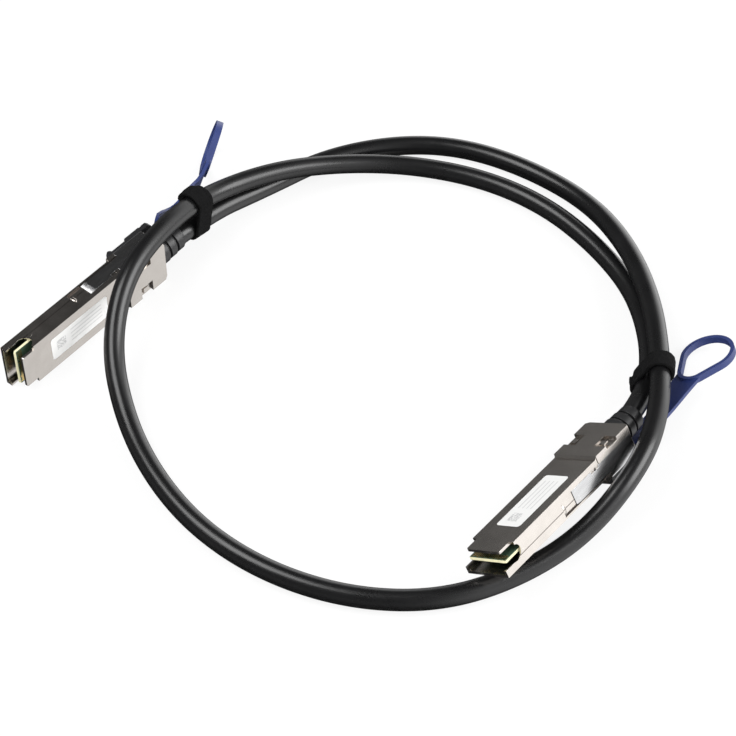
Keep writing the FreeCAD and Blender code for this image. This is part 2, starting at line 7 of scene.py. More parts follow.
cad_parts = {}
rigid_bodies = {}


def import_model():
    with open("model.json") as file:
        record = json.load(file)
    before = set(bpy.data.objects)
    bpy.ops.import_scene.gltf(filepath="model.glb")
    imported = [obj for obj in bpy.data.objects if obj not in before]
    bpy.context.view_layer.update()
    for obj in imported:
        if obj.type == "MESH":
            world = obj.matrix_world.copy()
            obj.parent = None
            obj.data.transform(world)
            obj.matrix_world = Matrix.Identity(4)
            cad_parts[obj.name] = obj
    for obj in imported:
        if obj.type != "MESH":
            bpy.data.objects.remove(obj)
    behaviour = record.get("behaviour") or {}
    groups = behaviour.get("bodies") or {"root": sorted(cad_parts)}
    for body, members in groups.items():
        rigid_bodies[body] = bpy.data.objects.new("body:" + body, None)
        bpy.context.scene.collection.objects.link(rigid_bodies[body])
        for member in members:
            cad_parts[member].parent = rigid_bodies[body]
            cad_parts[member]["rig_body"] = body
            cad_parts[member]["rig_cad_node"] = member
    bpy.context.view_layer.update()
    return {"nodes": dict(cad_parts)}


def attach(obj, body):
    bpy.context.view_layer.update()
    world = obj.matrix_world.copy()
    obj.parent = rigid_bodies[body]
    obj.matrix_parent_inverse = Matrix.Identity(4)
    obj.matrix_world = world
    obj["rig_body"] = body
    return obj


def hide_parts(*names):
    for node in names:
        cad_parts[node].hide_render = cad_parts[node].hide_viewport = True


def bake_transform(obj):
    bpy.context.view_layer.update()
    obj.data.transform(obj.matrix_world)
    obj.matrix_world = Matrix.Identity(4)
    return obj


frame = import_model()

mm = 0.001
quarterTurn = math.pi / 2
sharpAngle = math.radians(35)      # edges that turn more than this are broken
mergeDistance = 0.002              # millimetres, between corners that are the same point

# where the two plugs lie: nose point in millimetres, pitch and roll in degrees
plugs = {
    "a": {"nose": (-85.86, 81.72, 9.45), "pitch": 0.0, "roll": 90.0},
    "b": {"nose": (-52.26, -98.28, 15.95), "pitch": 3.4, "roll": -34.0},
}


def plugTurn(side):
    plug = plugs[side]
    return Euler((math.radians(plug["roll"]), math.radians(plug["pitch"]), 0.0), "XYZ")


def plugFrame(side):
    # the plug's own frame: X runs from the nose to the cable, Y across, Z to the label
    place = Matrix.Translation(Vector(plugs[side]["nose"]) * mm)
    return place @ plugTurn(side).to_matrix().to_4x4()


def deselectAll():
    if bpy.context.object and bpy.context.object.mode != "OBJECT":
        bpy.ops.object.mode_set(mode="OBJECT")
    bpy.ops.object.select_all(action="DESELECT")


def pick(piece):
    deselectAll()
    piece.select_set(True)
    bpy.context.view_layer.objects.active = piece


def selectWhere(piece, wanted):
    # edit mode, with the vertices selected whose place passes the test
    pick(piece)
    bpy.ops.object.mode_set(mode="EDIT")
    bpy.ops.mesh.select_mode(type="VERT")
    bpy.ops.mesh.select_all(action="DESELECT")
    bpy.ops.object.mode_set(mode="OBJECT")
    for vertex in piece.data.vertices:
        vertex.select = wanted(vertex.co)
    bpy.ops.object.mode_set(mode="EDIT")


# shader nodes

class Wire:
    # one output of a node; maths on it adds Math nodes
    def __init__(self, sheet, output):
        self.sheet = sheet
        self.output = output

    def maths(self, operation, other=0.0, flipped=False):
        first, second = (other, self) if flipped else (self, other)
        return self.sheet.add("ShaderNodeMath", {"operation": operation}, {0: first, 1: second})

    def __add__(self, other):
        return self.maths("ADD", other)

    def __radd__(self, other):
        return self.maths("ADD", other)

    def __sub__(self, other):
        return self.maths("SUBTRACT", other)

    def __rsub__(self, other):
        return self.maths("SUBTRACT", other, True)

    def __mul__(self, other):
        return self.maths("MULTIPLY", other)

    def __rmul__(self, other):
        return self.maths("MULTIPLY", other)

    def __truediv__(self, other):
        return self.maths("DIVIDE", other)

    def __rtruediv__(self, other):
        return self.maths("DIVIDE", other, True)

    def __gt__(self, other):
        return self.maths("GREATER_THAN", other)

    def __lt__(self, other):
        return self.maths("LESS_THAN", other)

    def clamp(self):
        return self.sheet.add("ShaderNodeClamp", {}, {0: self})

    def absolute(self):
        return self.maths("ABSOLUTE")


class Sheet:
    # the node tree of one finish or of the world
    def __init__(self, tree):
        self.tree = tree

    def add(self, kind, settings, inputs, output=0):
        node = self.tree.nodes.new(kind)
        for key, value in settings.items():
            setattr(node, key, value)
        for key, value in inputs.items():
            self.feed(node.inputs[key], value)
        return Wire(self, node.outputs[output])

    def feed(self, socket, value):
        if isinstance(value, Wire):
            self.tree.links.new(value.output, socket)
        else:
            socket.default_value = value

    def ray(self, kind):
        return self.add("ShaderNodeLightPath", {}, {}, kind)

    def part(self, vector, axis):
        return self.add("ShaderNodeSeparateXYZ", {}, {"Vector": vector}, axis)

    def fade(self, value, start, end, low, high):
        # smoothly from low at the start to high at the end
        return self.add("ShaderNodeMapRange", {"interpolation_type": "SMOOTHSTEP"}, {
            "Value": value, "From Min": start, "From Max": end, "To Min": low, "To Max": high})


class Finish(Sheet):
    # a material on one Principled shader
    def __init__(self, name, settings):
        self.material = bpy.data.materials.new(name)
        self.material.use_nodes = True
        super().__init__(self.material.node_tree)
        self.shader = self.tree.nodes["Principled BSDF"]
        for key, value in settings.items():
            self.feed(self.shader.inputs[key], value)
        self.place = self.add("ShaderNodeTexCoord", {}, {}, "Object")

    def inPlug(self, side, stretch=(1, 1, 1)):
        # millimetres in the plug's own frame
        nose = tuple(Vector(plugs[side]["nose"]) * mm)
        local = self.add("ShaderNodeMapping", {"vector_type": "TEXTURE"}, {
            "Vector": self.place, "Location": nose, "Rotation": tuple(plugTurn(side)),
            "Scale": (mm, mm, mm)})
        if stretch == (1, 1, 1):
            return local
        return self.add("ShaderNodeMapping", {}, {"Vector": local, "Scale": stretch})

    def noise(self, where, scale, detail=3.0, rough=0.5):
        return self.add("ShaderNodeTexNoise", {}, {
            "Vector": where, "Scale": scale, "Detail": detail, "Roughness": rough})

    def mix(self, share, first, second):
        # on a Mix node, inputs 6 and 7 are its colours A and B and output 2 is the mixed colour
        first, second = (
            (*shade, 1.0) if isinstance(shade, tuple) else shade for shade in (first, second))
        return self.add("ShaderNodeMix", {"data_type": "RGBA"}, {
            "Factor": share, 6: first, 7: second}, 2)

    def bump(self, height, depth, strength=1.0, over=None):
        # depth in metres; over is a coarser bump that this one lies on
        inputs = {"Height": height, "Distance": depth, "Strength": strength}
        if over:
            inputs["Normal"] = over
        normal = self.add("ShaderNodeBump", {}, inputs)
        self.feed(self.shader.inputs["Normal"], normal)
        return normal

    def colour(self, value):
        self.feed(self.shader.inputs["Base Color"], value)

    def roughness(self, value):
        self.feed(self.shader.inputs["Roughness"], value)


# camera, lamps, world and floor

view = {
    # aim and distance in millimetres, heading and elevation in degrees, nearest in metres
    "aim": (-0.26, -8.48, 0.0), "distance": 750.96, "heading": 39.1, "elevation": 49.1045,
    "lens": 103.5, "sensor": 36.0, "nearest": 0.01,
}


def makeCamera():
    data = bpy.data.cameras.new("camera")
    data.lens = view["lens"]
    data.sensor_width = view["sensor"]
    data.clip_start = view["nearest"]
    camera = bpy.data.objects.new("camera", data)
    bpy.context.scene.collection.objects.link(camera)
    heading, rise = math.radians(view["heading"]), math.radians(view["elevation"])
    back = Vector((-math.cos(heading) * math.cos(rise), -math.sin(heading) * math.cos(rise),
                   math.sin(rise)))
    camera.location = (Vector(view["aim"]) + back * view["distance"]) * mm
    camera.rotation_mode = "QUATERNION"
    camera.rotation_quaternion = (-back).to_track_quat("-Z", "Y")
    bpy.context.scene.camera = camera


lamps = {
    # places and sizes in metres, power in watts; a mirrored lamp shows in polished faces
    "key": {"at": (0.55, -0.95, 0.75), "size": 0.9, "power": 15.0, "mirrored": True},
    "fill": {"at": (-0.95, -0.25, 0.85), "size": 1.0, "power": 7.0, "mirrored": False},
    "top": {"at": (-0.37, 0.47, 1.09), "size": 0.70, "power": 9.5, "mirrored": True},
}


def makeLamps():
    for name, lamp in lamps.items():
        data = bpy.data.lights.new(name, "AREA")
        data.shape = "SQUARE"
        data.size = lamp["size"]
        data.energy = lamp["power"]
        light = bpy.data.objects.new(name, data)
        light.location = lamp["at"]
        light.rotation_mode = "QUATERNION"
        light.rotation_quaternion = (-Vector(lamp["at"])).to_track_quat("-Z", "Y")
        light.visible_glossy = lamp["mirrored"]
        bpy.context.scene.collection.objects.link(light)


room = {
    # ambient is for plain rays; polished faces mirror a grey band at the horizon instead,
    # full up to one height and gone at another, on a sphere of radius 1
    "ambient": 0.50, "horizon": 0.20, "horizonFull": 0.05, "horizonEnds": 0.55,
}
brightSides = {
    # they also mirror two bright sides on a dark wall; starts and full are cosines of the
    # angle to the middle of a side
    "broad": {"towards": (0.50, -0.85, 0.06), "starts": 0.15, "full": 0.90,
              "outside": 0.05, "inside": 1.80},
    "narrow": {"towards": (0.95, 0.22, 0.02), "starts": 0.80, "full": 0.98,
               "outside": 0.0, "inside": 2.6},
}


def makeWorld():
    world = bpy.data.worlds.new("studio")
    bpy.context.scene.world = world
    world.use_nodes = True
    world.node_tree.nodes.clear()
    sheet = Sheet(world.node_tree)
    heading = sheet.add("ShaderNodeTexCoord", {}, {}, "Generated")
    height = sheet.part(heading, "Z").absolute()
    wall = sheet.fade(height, room["horizonFull"], room["horizonEnds"], room["horizon"], 0.0)
    for side in brightSides.values():
        middle = tuple(Vector(side["towards"]).normalized())
        towards = sheet.add("ShaderNodeVectorMath", {"operation": "DOT_PRODUCT"},
                            {0: heading, 1: middle}, "Value")
        wall += sheet.fade(towards, side["starts"], side["full"], side["outside"],
                           side["inside"])
    camera, glossy = sheet.ray("Is Camera Ray"), sheet.ray("Is Glossy Ray")
    strength = camera + (1 - camera) * (glossy * wall + (1 - glossy) * room["ambient"])
    background = sheet.add("ShaderNodeBackground", {}, {"Strength": strength})
    out = world.node_tree.nodes.new("ShaderNodeOutputWorld")
    world.node_tree.links.new(background.output, out.inputs["Surface"])


paper = {
    # size and level in metres; glow is how far the paper is plain white to the camera
    "size": 6.0, "level": -0.00005, "colour": (0.90, 0.90, 0.90), "rough": 0.9, "glow": 0.86,
}


def makeFloor():
    deselectAll()
    bpy.ops.mesh.primitive_plane_add(size=paper["size"], location=(0, 0, paper["level"]))
    floor = bpy.context.object
    floor.name = "floor"
    finish = Finish("floorPaper", {"Base Color": (*paper["colour"], 1.0),
                                   "Roughness": paper["rough"], "Specular IOR Level": 0.0})
    camera, glossy = finish.ray("Is Camera Ray"), finish.ray("Is Glossy Ray")
    white = finish.add("ShaderNodeEmission", {}, {"Color": (1, 1, 1, 1), "Strength": 1.0})
    lit = finish.add("ShaderNodeMixShader", {}, {
        0: camera * paper["glow"], 1: Wire(finish, finish.shader.outputs[0]), 2: white})
    clear = finish.add("ShaderNodeBsdfTransparent", {}, {})
    surface = finish.add("ShaderNodeMixShader", {}, {0: glossy, 1: lit, 2: clear})
    finish.tree.links.new(surface.output, finish.tree.nodes["Material Output"].inputs["Surface"])
    floor.data.materials.append(finish.material)


# cable

cable = {
    # millimetres; exit is where the cable leaves the boot of plug a
    "diameter": 7.3, "length": 950.0, "exit": (-0.66, 81.72, 9.45),
    "stepsAlong": 24, "stepsRound": 10,
    # the route from plug a to plug b
    "route": [
        (-19.36, 81.72, 9.45), (11.74, 81.72, 9.45), (43.34, 76.52, 4.3), (69.74, 69.82, 3.75),
        (92.94, 53.82, 3.75), (108.04, 33.12, 3.75), (114.74, 6.02, 3.75), (112.14, -24.48, 6.2),
        (97.94, -51.28, 11.4), (79.04, -74.28, 13.6), (57.94, -91.98, 15.0), (34.94, -106.88, 17.3),
        (12.34, -114.68, 17.6), (-14.86, -113.48, 7.4), (-40.76, -105.28, 3.75),
        (-64.76, -91.48, 3.75), (-81.76, -69.48, 3.75), (-91.26, -42.98, 3.75),
        (-93.06, -14.98, 3.75), (-87.26, 12.02, 3.9), (-75.26, 38.02, 5.5), (-58.26, 60.52, 13.0),
        (-37.26, 71.82, 25.3), (-8.76, 78.22, 25.0), (19.24, 82.52, 15.9), (45.24, 73.72, 13.2),
        (68.24, 60.02, 8.3), (87.24, 41.02, 4.7), (99.24, 16.02, 3.75), (102.54, -10.98, 3.75),
        (97.34, -38.48, 3.75), (86.54, -63.28, 3.9), (65.74, -84.28, 6.0), (39.54, -98.28, 10.5),
        (14.14, -98.28, 12.0),
    ],
}
sheath = {
    # cloud and grain are noise scales per metre, depth is the height of the bump in metres
    "dark": (0.0045, 0.0045, 0.0048), "pale": (0.008, 0.008, 0.0085), "cloud": 90.0,
    "grain": 1500.0, "rough": 0.22, "cloudRough": 0.08, "grainRough": 0.05,
    "cloudBump": 2.0, "depth": 0.000012,
}


def sheathFinish():
    finish = Finish("cableSheath", {"Specular IOR Level": 0.5})
    cloud = finish.noise(finish.place, sheath["cloud"], 2.0)
    grain = finish.noise(finish.place, sheath["grain"], 3.0, 0.6)
    finish.roughness(sheath["rough"] + sheath["cloudRough"] * cloud
                     + sheath["grainRough"] * grain)
    finish.colour(finish.mix(cloud, sheath["dark"], sheath["pale"]))
    finish.bump(grain + sheath["cloudBump"] * cloud, sheath["depth"], 0.5)
    return finish.material


def makeCable():
    data = bpy.data.curves.new("cable", "CURVE")
    data.dimensions = "3D"
    spline = data.splines.new("NURBS")
    spline.points.add(len(cable["route"]) - 1)
    for point, place in zip(spline.points, cable["route"]):
        point.co = (*(Vector(place) * mm), 1.0)
    spline.order_u = 3
    spline.use_endpoint_u = True
    spline.resolution_u = cable["stepsAlong"]
    data.bevel_depth = cable["diameter"] / 2 * mm
    data.bevel_resolution = cable["stepsRound"]
    data.use_fill_caps = True
    piece = bpy.data.objects.new("cable", data)
    bpy.context.scene.collection.objects.link(piece)
    data.materials.append(sheathFinish())
    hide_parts("cable_jacket")
    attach(piece, "root")
    return piece


# finishes of the plugs

sideDetails = {
    # on the plug's side faces, in millimetres in its own frame
    "face": 8.3,                                     # the side faces lie farther out than this
    "seam": -1.2, "seamHalf": 0.12,                  # joint of the two shells
    # the band at the sill height on the recess's lower wall is painted shade
    "recess": 31.6, "sill": -3.4, "sillHalf": 0.14,  # front end and lower wall of the recess
    "boss": (32.7, 8.525, -1.2), "bossSize": (0.85, 0.36, 1.75),
    "wedge": 38.6, "wedgeLength": 2.4, "wedgeHeight": 0.44,    # tip of the bracket's arm
}
shellPlating = {
    # cloud is a noise scale per millimetre, and the grain is stretched along the plug; the
    # near-black colour darkens the seam line and is also painted shade on the recess's lower wall
    "dark": (0.51, 0.475, 0.44), "pale": (0.61, 0.575, 0.54), "seamAndShade": (0.05, 0.04, 0.035),
    "cloud": 0.16, "grainStretch": (0.10, 2.6, 2.6),
    "rough": 0.15, "cloudRough": 0.08, "grainRough": 0.08, "depth": 0.00002,
}
bracketSteel = {
    "dark": (0.42, 0.42, 0.42), "pale": (0.56, 0.56, 0.57), "grainStretch": (0.2, 4.0, 4.0),
    "rough": 0.15, "grainRough": 0.12, "depth": 0.00001,
}


def platedFinish(side):
    finish = Finish("platedShell_" + side, {"Metallic": 1.0})
    local = finish.inPlug(side)
    along, across, height = (finish.part(local, axis) for axis in "XYZ")
    onSide = across.absolute() > sideDetails["face"]
    seam = onSide * ((height - sideDetails["seam"]).absolute() < sideDetails["seamHalf"])
    inRecess = onSide * (along > sideDetails["recess"])
    # painted shade: a dark band on the recess's lower wall, where the plating would otherwise show
    # a bright reflection; the seam band is a real dark joint
    sill = inRecess * ((height - sideDetails["sill"]).absolute() < sideDetails["sillHalf"])
    seamAndShade = (seam + sill).clamp()
    grain = finish.noise(finish.inPlug(side, shellPlating["grainStretch"]), 1.0, 4.0, 0.65)
    cloud = finish.noise(local, shellPlating["cloud"], 3.0)
    plain = finish.mix(cloud, shellPlating["dark"], shellPlating["pale"])
    finish.colour(finish.mix(seamAndShade, plain, shellPlating["seamAndShade"]))
    finish.roughness(shellPlating["rough"] + shellPlating["cloudRough"] * cloud
                     + shellPlating["grainRough"] * grain)
    finish.bump(grain, shellPlating["depth"], 0.6)
    return finish.material


def steelFinish(side):
    finish = Finish("bracketSteel_" + side, {"Metallic": 1.0})
    grain = finish.noise(finish.inPlug(side, bracketSteel["grainStretch"]), 1.0, 3.0)
    finish.colour(finish.mix(grain, bracketSteel["dark"], bracketSteel["pale"]))
    finish.roughness(bracketSteel["rough"] + bracketSteel["grainRough"] * grain)
    # the tips of the arms look steeper than the thin sheet is
    along = finish.part(finish.inPlug(side), "X")
    slope = ((along - sideDetails["wedge"]) / sideDetails["wedgeLength"]).clamp()
    wedge = finish.bump(slope, sideDetails["wedgeHeight"] * mm)
    finish.bump(grain, bracketSteel["depth"], 0.5, wedge)
    return finish.material


mouldingTexture = {"cloud": 140.0, "grainRough": 0.12, "depth": 0.00004}
mouldings = {
    # dark and pale colour, roughness, noise scale of the grain
    "bootRubber": ((0.007, 0.007, 0.0075), (0.014, 0.014, 0.015), 0.34, 900.0),
    "holderMoulding": ((0.010, 0.010, 0.011), (0.018, 0.018, 0.020), 0.38, 700.0),
    "chipBody": ((0.02, 0.02, 0.022), (0.035, 0.035, 0.04), 0.5, 1200.0),
}


def mouldedFinish(name):
    dark, pale, rough, grainScale = mouldings[name]
    finish = Finish(name, {"Specular IOR Level": 0.45})
    grain = finish.noise(finish.place, grainScale, 3.0, 0.6)
    cloud = finish.noise(finish.place, mouldingTexture["cloud"], 2.0)
    finish.colour(finish.mix(cloud, dark, pale))
    finish.roughness(rough + mouldingTexture["grainRough"] * grain)
    finish.bump(grain, mouldingTexture["depth"], 0.5)
    return finish.material


metalTexture = {"cloud": 500.0, "cloudRough": 0.15, "depth": 0.00002}
plainMetals = {
    # dark and pale colour, roughness
    "goldContact": ((0.78, 0.55, 0.20), (0.90, 0.68, 0.30), 0.18),
    "pairFoil": ((0.60, 0.61, 0.63), (0.78, 0.79, 0.80), 0.30),
    "crimpMetal": ((0.55, 0.47, 0.30), (0.68, 0.58, 0.38), 0.28),
    "springWire": ((0.45, 0.45, 0.46), (0.62, 0.62, 0.63), 0.22),
    "screwSteel": ((0.38, 0.38, 0.39), (0.50, 0.50, 0.51), 0.26),
}


def plainMetalFinish(name):
    dark, pale, rough = plainMetals[name]
    finish = Finish(name, {"Metallic": 1.0})
    cloud = finish.noise(finish.place, metalTexture["cloud"], 3.0)
    finish.colour(finish.mix(cloud, dark, pale))
    finish.roughness(rough + metalTexture["cloudRough"] * cloud)
    finish.bump(cloud, metalTexture["depth"], 0.3)
    return finish.material


strap = {
    "dark": (0.015, 0.028, 0.118), "pale": (0.023, 0.040, 0.165), "cloud": 110.0,
    "grain": 1800.0, "rough": 0.34, "cloudRough": 0.08, "grainRough": 0.10, "depth": 0.00003,
}


def strapFinish():
    finish = Finish("blueStrap", {"Specular IOR Level": 0.5})
    cloud = finish.noise(finish.place, strap["cloud"], 3.0)
    grain = finish.noise(finish.place, strap["grain"], 2.0)
    finish.colour(finish.mix(cloud, strap["dark"], strap["pale"]))
    finish.roughness(strap["rough"] + strap["grainRough"] * grain
                     + strap["cloudRough"] * cloud)
    finish.bump(grain, strap["depth"], 0.5)
    return finish.material


label = {
    # four ruled lines and a plain speckled panel, in millimetres in the plug's own frame
    "lines": (25.0, 40.5), "linesHalf": 3.6, "linesPerMm": 0.55, "linePhase": 50.5,
    "lineShare": 0.22, "lineInk": 0.35,
    "panel": (18.0, 22.4), "panelMiddle": 0.4, "panelHalf": 2.2, "speckle": 2.2,
    "speckleLimit": 0.5, "panelInk": 0.45,
    "film": (0.80, 0.80, 0.79), "ink": (0.12, 0.12, 0.13), "rough": 0.42,
    "ripple": 3.0, "depth": 0.00001,
}


def labelFinish(side):
    finish = Finish("labelFilm_" + side, {"Roughness": label["rough"]})
    local = finish.inPlug(side)
    along, across = finish.part(local, "X"), finish.part(local, "Y")
    (linesStart, linesEnd), (panelStart, panelEnd) = label["lines"], label["panel"]
    inLines = (along > linesStart) * (along < linesEnd)
    rows = (across * label["linesPerMm"] + label["linePhase"]).maths("FRACT")
    ruled = inLines * (rows < label["lineShare"]) * (across.absolute() < label["linesHalf"])
    inPanel = (across - label["panelMiddle"]).absolute() < label["panelHalf"]
    panel = (along > panelStart) * (along < panelEnd) * inPanel
    speckle = finish.noise(local, label["speckle"], 2.0) > label["speckleLimit"]
    ink = (ruled * label["lineInk"] + panel * speckle * label["panelInk"]).clamp()
    finish.colour(finish.mix(ink, label["film"], label["ink"]))
    finish.bump(finish.noise(local, label["ripple"]), label["depth"], 0.4)
    return finish.material


card = {
    # green mask on both faces and a bare pale edge, round the middle of the card's height
    "mask": ((0.045, 0.085, 0.052), (0.065, 0.115, 0.075)), "edge": (0.74, 0.71, 0.46),
    "middle": 0.2, "edgeHalf": 0.46, "weave": (3.0, 3.0, 3.0), "rough": 0.32,
    "weaveRough": 0.2,
}


def cardFinish(side):
    finish = Finish("cardLaminate_" + side, {"Specular IOR Level": 0.5})
    height = finish.part(finish.inPlug(side), "Z")
    edge = (height - card["middle"]).absolute() < card["edgeHalf"]
    weave = finish.noise(finish.inPlug(side, card["weave"]), 1.0, 2.0)
    mask = finish.mix(weave, *card["mask"])
    finish.colour(finish.mix(edge, mask, card["edge"]))
    finish.roughness(card["rough"] + card["weaveRough"] * weave)
    return finish.material


# shells, brackets, holders and straps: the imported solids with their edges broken

brokenEdges = {
    # node: bevel width in millimetres
    "lower_shell": 0.12, "upper_shell": 0.14, "latch_slider": 0.06, "tab_holder": 0.30,
    "pull_tab": 0.28,
}
flatAngle = math.radians(0.5)      # faces that turn less than this are joined into one


def smoothFlats(piece):
    # round edges shade smoothly while the broad faces between them stay flat
    pick(piece)
    bpy.ops.object.shade_smooth_by_angle(angle=sharpAngle)
    weighted = piece.modifiers.new("flats", "WEIGHTED_NORMAL")
    weighted.mode = "FACE_AREA"
    weighted.weight = 100
    weighted.keep_sharp = True
    bpy.ops.object.modifier_apply(modifier="flats")


def roundEdges(piece, width, segments):
    # width in the units of the piece's own mesh
    pick(piece)
    bevel = piece.modifiers.new("edge", "BEVEL")
    bevel.width = width
    bevel.segments = segments
    bevel.limit_method = "ANGLE"
    bevel.angle_limit = sharpAngle
    bpy.ops.object.modifier_apply(modifier="edge")


def addBosses(shell, side):
    # a small rounded boss on the floor of each side recess, part of the shell
    along, out, height = sideDetails["boss"]
    for across in (-out, out):
        deselectAll()
        bpy.ops.mesh.primitive_uv_sphere_add(segments=24, ring_count=12, radius=1.0)
        boss = bpy.context.object
        boss.matrix_world = (plugFrame(side) @ Matrix.Scale(mm, 4)
                             @ Matrix.Translation((along, across, height))
                             @ Matrix.Diagonal((*sideDetails["bossSize"], 1.0)))
        bpy.ops.object.transform_apply(location=True, rotation=True, scale=True)
        bpy.ops.object.shade_smooth()
        pick(shell)
        boss.select_set(True)
        bpy.ops.object.join()


def dressedCopy(kind, side, finish, body):
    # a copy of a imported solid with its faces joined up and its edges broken
    node = kind + "_" + side
    piece = frame["nodes"][node].copy()
    piece.data = frame["nodes"][node].data.copy()
    piece.name = kind + "_dressed_" + side
    piece.parent = None
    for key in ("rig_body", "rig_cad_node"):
        del piece[key]
    bpy.context.scene.collection.objects.link(piece)
    pick(piece)
    bpy.ops.object.mode_set(mode="EDIT")
    bpy.ops.mesh.select_all(action="SELECT")
    bpy.ops.mesh.remove_doubles(threshold=mergeDistance * mm)
    bpy.ops.mesh.dissolve_limited(angle_limit=flatAngle)
    bpy.ops.object.mode_set(mode="OBJECT")
    roundEdges(piece, brokenEdges[kind] * mm, 2)
    smoothFlats(piece)
    if kind == "upper_shell":
        addBosses(piece, side)
    piece.data.materials.clear()
    piece.data.materials.append(finish)
    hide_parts(node)
    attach(piece, body)


def repaint(node, finish):
    data = frame["nodes"][node].data
    if data.materials:
        data.materials[0] = finish
    else:
        data.materials.append(finish)


def makePlugs():
    holder, blue, chip = mouldedFinish("holderMoulding"), strapFinish(), mouldedFinish("chipBody")
    gold, foil = plainMetalFinish("goldContact"), plainMetalFinish("pairFoil")
    crimp, screw = plainMetalFinish("crimpMetal"), plainMetalFinish("screwSteel")
    for side in plugs:
        plated, steel = platedFinish(side), steelFinish(side)
        slider = "slider_" + side
        dressed = (
            ("lower_shell", plated, "plated_shell", "root"),
            ("upper_shell", plated, "plated_shell", "root"),
            ("latch_slider", steel, "steel_bracket", slider),
            ("tab_holder", holder, "holder_moulding", slider),
            ("pull_tab", blue, "blue_strap", slider),
        )
        for kind, finish, slotName, body in dressed:
            dressedCopy(kind, side, finish, body)
        repainted = (
            ("paddle_card", cardFinish(side)), ("contact_pads", gold),
            ("card_components", chip), ("twinax_pairs", foil), ("crimp_ferrule", crimp),
            ("shell_screws", screw), ("label", labelFinish(side)),
        )
        for kind, finish in repainted:
            repaint(kind + "_" + side, finish)


# boots and springs, shaped in millimetres in the plug's own frame

def settle(piece, name, finish, place):
    # a piece shaped in millimetres goes to its place, with the place in its mesh
    piece.name = name
    piece.matrix_world = place @ Matrix.Scale(mm, 4)
    pick(piece)
    bpy.ops.object.transform_apply(location=True, rotation=True, scale=True)
    piece.data.materials.clear()
    piece.data.materials.append(finish)


def turned(steps, sides):
    # rings of (x, radius) joined along X into one closed turned shape
    deselectAll()
    first, size = steps[0]
    bpy.ops.mesh.primitive_circle_add(vertices=sides, radius=size, fill_type="NOTHING")
    piece = bpy.context.object
    bpy.ops.object.mode_set(mode="EDIT")
    bpy.ops.transform.rotate(value=quarterTurn, orient_axis="Y", center_override=(0, 0, 0))
    bpy.ops.transform.translate(value=(first, 0, 0))
    for (x0, r0), (x1, r1) in zip(steps, steps[1:] + steps[:1]):
        bpy.ops.mesh.extrude_region_move(TRANSFORM_OT_translate={"value": (x1 - x0, 0, 0)})
        bpy.ops.transform.resize(value=(1, r1 / r0, r1 / r0), center_override=(x1, 0, 0))
    bpy.ops.mesh.select_all(action="SELECT")
    bpy.ops.mesh.remove_doubles(threshold=mergeDistance)
    bpy.ops.mesh.normals_make_consistent(inside=False)
    bpy.ops.object.mode_set(mode="OBJECT")
    return piece


boot = {
    "front": 69.3, "bore": 3.72, "neck": 4.35, "end": 85.2, "endRadius": 4.25,
    "flangeFront": 70.2, "flangeBack": 71.5, "flangeRadius": 4.75,
    "firstRib": 73.05, "ribs": (5.25, 5.0, 4.75), "ribWidth": 3.0, "groove": 1.05,
    "grooveDepth": 1.1, "rounding": 0.32, "sides": 56,
}


def bootOutline():
    # flange, neck, ribs with grooves between them, and the plain end
    bore, neck = boot["bore"], boot["neck"]
    front, back = boot["flangeFront"], boot["flangeBack"]
    x = boot["firstRib"]
    steps = [(boot["front"], bore), (boot["front"], neck), (front, neck),
             (front, boot["flangeRadius"]), (back, boot["flangeRadius"]), (back, neck), (x, neck)]
    for rib in boot["ribs"]:
        ribEnd = x + boot["ribWidth"]
        steps += [(x, rib), (ribEnd, rib)]
        x = ribEnd + boot["groove"]
        if rib != boot["ribs"][-1]:
            root = rib - boot["grooveDepth"]
            steps += [(ribEnd, root), (x, root)]
    return steps + [(ribEnd, boot["endRadius"]), (boot["end"], boot["endRadius"]),
                    (boot["end"], bore)]


def makeBoots():
    rubber = mouldedFinish("bootRubber")
    for side in plugs:
        piece = turned(bootOutline(), boot["sides"])
        roundEdges(piece, boot["rounding"], 3)
        smoothFlats(piece)
        settle(piece, "boot_" + side, rubber, plugFrame(side))
        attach(piece, "root")
        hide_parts("strain_relief_boot_" + side)


spring = {
    "start": 58.99, "end": 66.0, "spread": 6.4, "level": -4.5, "coil": 0.71, "wire": 0.14,
    "turns": 5, "stepsPerTurn": 18, "wireSides": 8, "smoothAngle": 50,
}


def makeCoil(across):
    deselectAll()
    bpy.ops.mesh.primitive_circle_add(vertices=spring["wireSides"], radius=spring["wire"],
                                      fill_type="NOTHING")
    coil = bpy.context.object
    bpy.ops.object.mode_set(mode="EDIT")
    bpy.ops.transform.rotate(value=quarterTurn, orient_axis="X", center_override=(0, 0, 0))
    bpy.ops.transform.translate(value=(0, 0, spring["coil"]))
    bpy.ops.transform.rotate(value=quarterTurn, orient_axis="Z", center_override=(0, 0, 0))
    bpy.ops.object.mode_set(mode="OBJECT")
    turns = coil.modifiers.new("turns", "SCREW")
    turns.axis = "X"
    turns.screw_offset = (spring["end"] - spring["start"]) / spring["turns"]
    turns.iterations = spring["turns"]
    turns.steps = spring["stepsPerTurn"]
    turns.render_steps = spring["stepsPerTurn"]
    bpy.ops.object.modifier_apply(modifier="turns")
    coil.location = (spring["start"], across, spring["level"])
    bpy.ops.object.transform_apply(location=True)
    return coil


